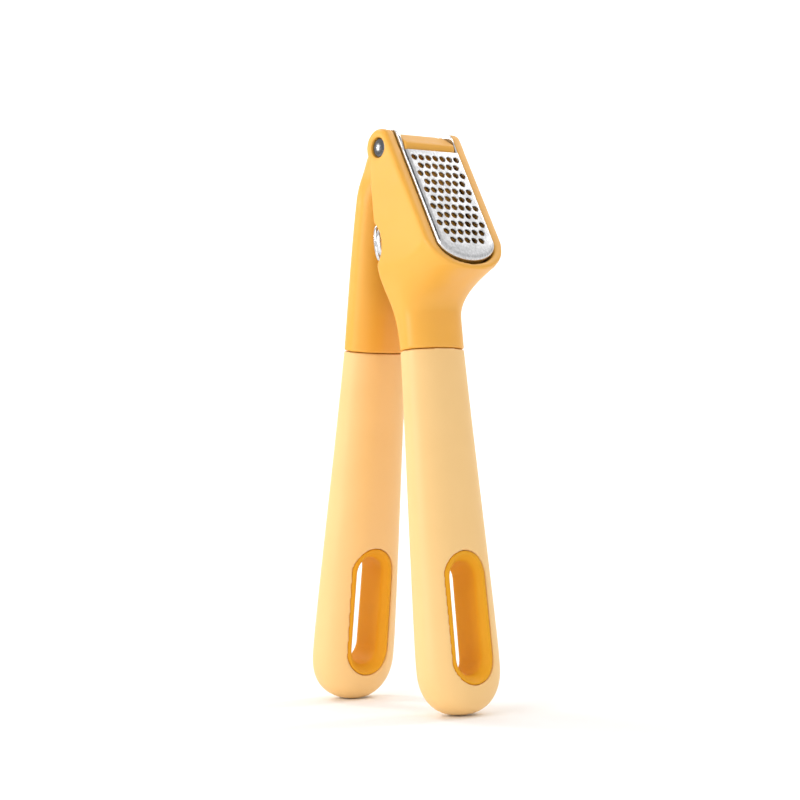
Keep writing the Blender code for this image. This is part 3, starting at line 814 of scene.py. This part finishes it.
# The pin's steel has a painted dark tone: it stands in for the dark surroundings that its
# polished dome reflects, around the one bright spot.
pin_steel_painted_dark = steel("polished_pin_steel_painted_dark", (0.18, 0.18, 0.19), 0.14, 0.2, 0.001)
print("steels:", sheet_steel.name, pin_steel_painted_dark.name)

# %% Give every piece its material and its body, and hide the working part it stands for; each row also lists its finish
finishes = (
    (head, yellow, "basket_lever", "yellow_plastic", "basket_lever_frame"),
    (front_surround, slot_yellow_painted_shade, "basket_lever", "yellow_plastic", "basket_lever_frame"),
    (front_grip, pale, "basket_lever", "pale_grip", "basket_lever_grip"),
    (arm, yellow, "plunger_lever", "yellow_plastic", "plunger_lever_frame"),
    (rear_surround, slot_yellow_painted_shade, "plunger_lever", "yellow_plastic", "plunger_lever_frame"),
    (rear_grip, pale, "plunger_lever", "pale_grip", "plunger_lever_grip"),
    (basket, sheet_steel, "basket", "polished_steel", "basket"),
    (pin, pin_steel_painted_dark, "basket_lever", "polished_steel", "hinge_pin"),
    (cap, pin_steel_painted_dark, "basket_lever", "polished_steel", "pin_cap"),
)
for piece, mat, body, slot, node in finishes:
    piece.data.materials.clear()
    piece.data.materials.append(mat)
    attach(piece, body)
    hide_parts(node)
for node, mat in (("plunger_foot", yellow), ("plunger_foot_pin", pin_steel_painted_dark)):
    for material_slot in frame["nodes"][node].material_slots:
        material_slot.material = mat
print("finished pieces:", len(finishes), "and two working parts that keep their own shape")

# %% [markdown]
# ## Floor, light and camera
# The press stands on a pale sweep: a floor that curves up into a wall a long way back, so
# that no horizon shows. A strip of points is spun a quarter turn to make the curve and
# extruded for the flat parts.

# %% The sweep
VIEW_AZIMUTH = -39.54
BEHIND = math.radians(VIEW_AZIMUTH)
SWEEP_HALF, SWEEP_BACK, SWEEP_R, SWEEP_FRONT, SWEEP_TOP = 3.0, 0.9, 0.7, 2.5, 3.0


def make_sweep():
    """A floor strip extruded back, spun up a quarter turn, then extruded to full height."""
    bm = bmesh.new()
    ends = [bm.verts.new((x, -SWEEP_FRONT, 0)) for x in (-SWEEP_HALF, SWEEP_HALF)]
    edge = [bm.edges.new(ends)]
    for travel in ((0, SWEEP_FRONT + SWEEP_BACK, 0), None, (0, 0, SWEEP_TOP)):
        if travel:
            geom = bmesh.ops.extrude_edge_only(bm, edges=edge)["geom"]
            verts = [g for g in geom if isinstance(g, bmesh.types.BMVert)]
            bmesh.ops.translate(bm, verts=verts, vec=travel)
            edge = [g for g in geom if isinstance(g, bmesh.types.BMEdge)]
            edge = [e for e in edge if all(v in verts for v in e.verts)]
        else:
            turned_edge = bmesh.ops.spin(
                bm,
                geom=edge + list(edge[0].verts),
                cent=(0, SWEEP_BACK, SWEEP_R),
                axis=(1, 0, 0),
                angle=math.pi / 2,
                steps=32,
            )
            edge = [g for g in turned_edge["geom_last"] if isinstance(g, bmesh.types.BMEdge)]
    bmesh.ops.rotate(bm, verts=bm.verts, cent=(0, 0, 0), matrix=Matrix.Rotation(BEHIND, 3, "Z"))
    bmesh.ops.recalc_face_normals(bm, faces=bm.faces)
    return new_piece("pale_sweep", bm)


sweep = make_sweep()
sweep.data.shade_smooth()
print("sweep:", len(sweep.data.polygons), "faces")
sweep_mat, nodes, links, shader = new_material("pale_sweep_paint")
links.new(
    ramp(nodes, links, noise(nodes, links, 4.0, 2.0), (0.93, 0.93, 0.93), (0.95, 0.95, 0.95)),
    shader.inputs["Base Color"],
)
shader.inputs["Roughness"].default_value = 0.9
sweep.data.materials.append(sweep_mat)

# %% [markdown]
# ## Light
# One big soft light in front on the left gives the plastics their broad sheen. Two lights
# wash the wall so that it stays white. Polished steel only looks like steel when it has
# contrast to reflect: a black card hangs above the press on its left, outside the camera's
# view, and a small lamp behind it puts one bright spot on the pin's dome.

# %% Lights and the black card
world = bpy.data.worlds.new("white_surround")
world.use_nodes = True
world.node_tree.nodes["Background"].inputs["Color"].default_value = (1.0, 1.0, 1.0, 1.0)
world.node_tree.nodes["Background"].inputs["Strength"].default_value = 0.75
bpy.context.scene.world = world


def around(azimuth, distance, height):
    """A place at an azimuth round the press: 0 is in front of it, negative is on its left."""
    a = math.radians(azimuth)
    return Vector((distance * math.sin(a), -distance * math.cos(a), height))


def soft_light(name, place, target, size, power):
    light = bpy.data.lights.new(name, "AREA")
    light.shape, light.size, light.energy = "SQUARE", size, power
    lamp = bpy.data.objects.new(name, light)
    bpy.context.collection.objects.link(lamp)
    lamp.location = place
    lamp.rotation_euler = (Vector(target) - place).to_track_quat("-Z", "Y").to_euler()
    return lamp


soft_light("key_softbox", around(VIEW_AZIMUTH - 42, 0.9, 0.4), (0, 0, 0.1), 0.6, 4.2)
pin_face = PIN - Vector((HEAD_HALF * MM, 0, 0))
soft_light("pin_glint", around(-139, 0.426, 0.229), pin_face, 0.05, 0.12)
for side in (-1, 1):
    place = around(VIEW_AZIMUTH + 180 - 55 * side, 1.1, 1.2)
    target = around(VIEW_AZIMUTH + 180, 1.6, 0.2)
    soft_light("wall_wash", place, target, 0.5, 9.0)


def black_card(place, width, height):
    bm = bmesh.new()
    made = bmesh.ops.create_grid(bm, x_segments=1, y_segments=1, size=0.5)
    size = Matrix.Diagonal((width, height, 1))
    bmesh.ops.transform(bm, verts=made["verts"], matrix=size.to_4x4())
    facing = (Vector((0, 0, 0.1)) - place).to_track_quat("Z", "Y").to_matrix().to_4x4()
    bmesh.ops.transform(bm, verts=made["verts"], matrix=Matrix.Translation(place) @ facing)
    return new_piece("black_card", bm)


card = black_card(around(-60, 0.40, 0.52), 0.40, 0.26)
card_mat, nodes, links, shader = new_material("black_card_felt")
links.new(
    ramp(nodes, links, noise(nodes, links, 30.0, 2.0), (0.004, 0.004, 0.004), (0.01, 0.01, 0.01)),
    shader.inputs["Base Color"],
)
shader.inputs["Roughness"].default_value = 1.0
card.data.materials.append(card_mat)

# %% [markdown]
# ## Camera
# A long lens from about three quarters of a metre keeps the near grip from looking larger
# than the far one. The camera stands level with the middle of the press, in front of it on
# its left.

# %% Camera
camera_data = bpy.data.cameras.new("camera")
camera_data.lens, camera_data.sensor_width = 103.7, 36.0
camera_data.clip_start = 0.01
camera = bpy.data.objects.new("camera", camera_data)
bpy.context.collection.objects.link(camera)
camera.location = (-0.48867, -0.58966, 0.1035)
aim = Vector((0, 0.00236, 0.10179)) - camera.location
camera.rotation_euler = aim.to_track_quat("-Z", "Y").to_euler()
bpy.context.scene.camera = camera
bpy.context.scene.view_settings.view_transform = "Standard"
print("camera", round((aim.length) * 1000), "mm from the middle of the press")
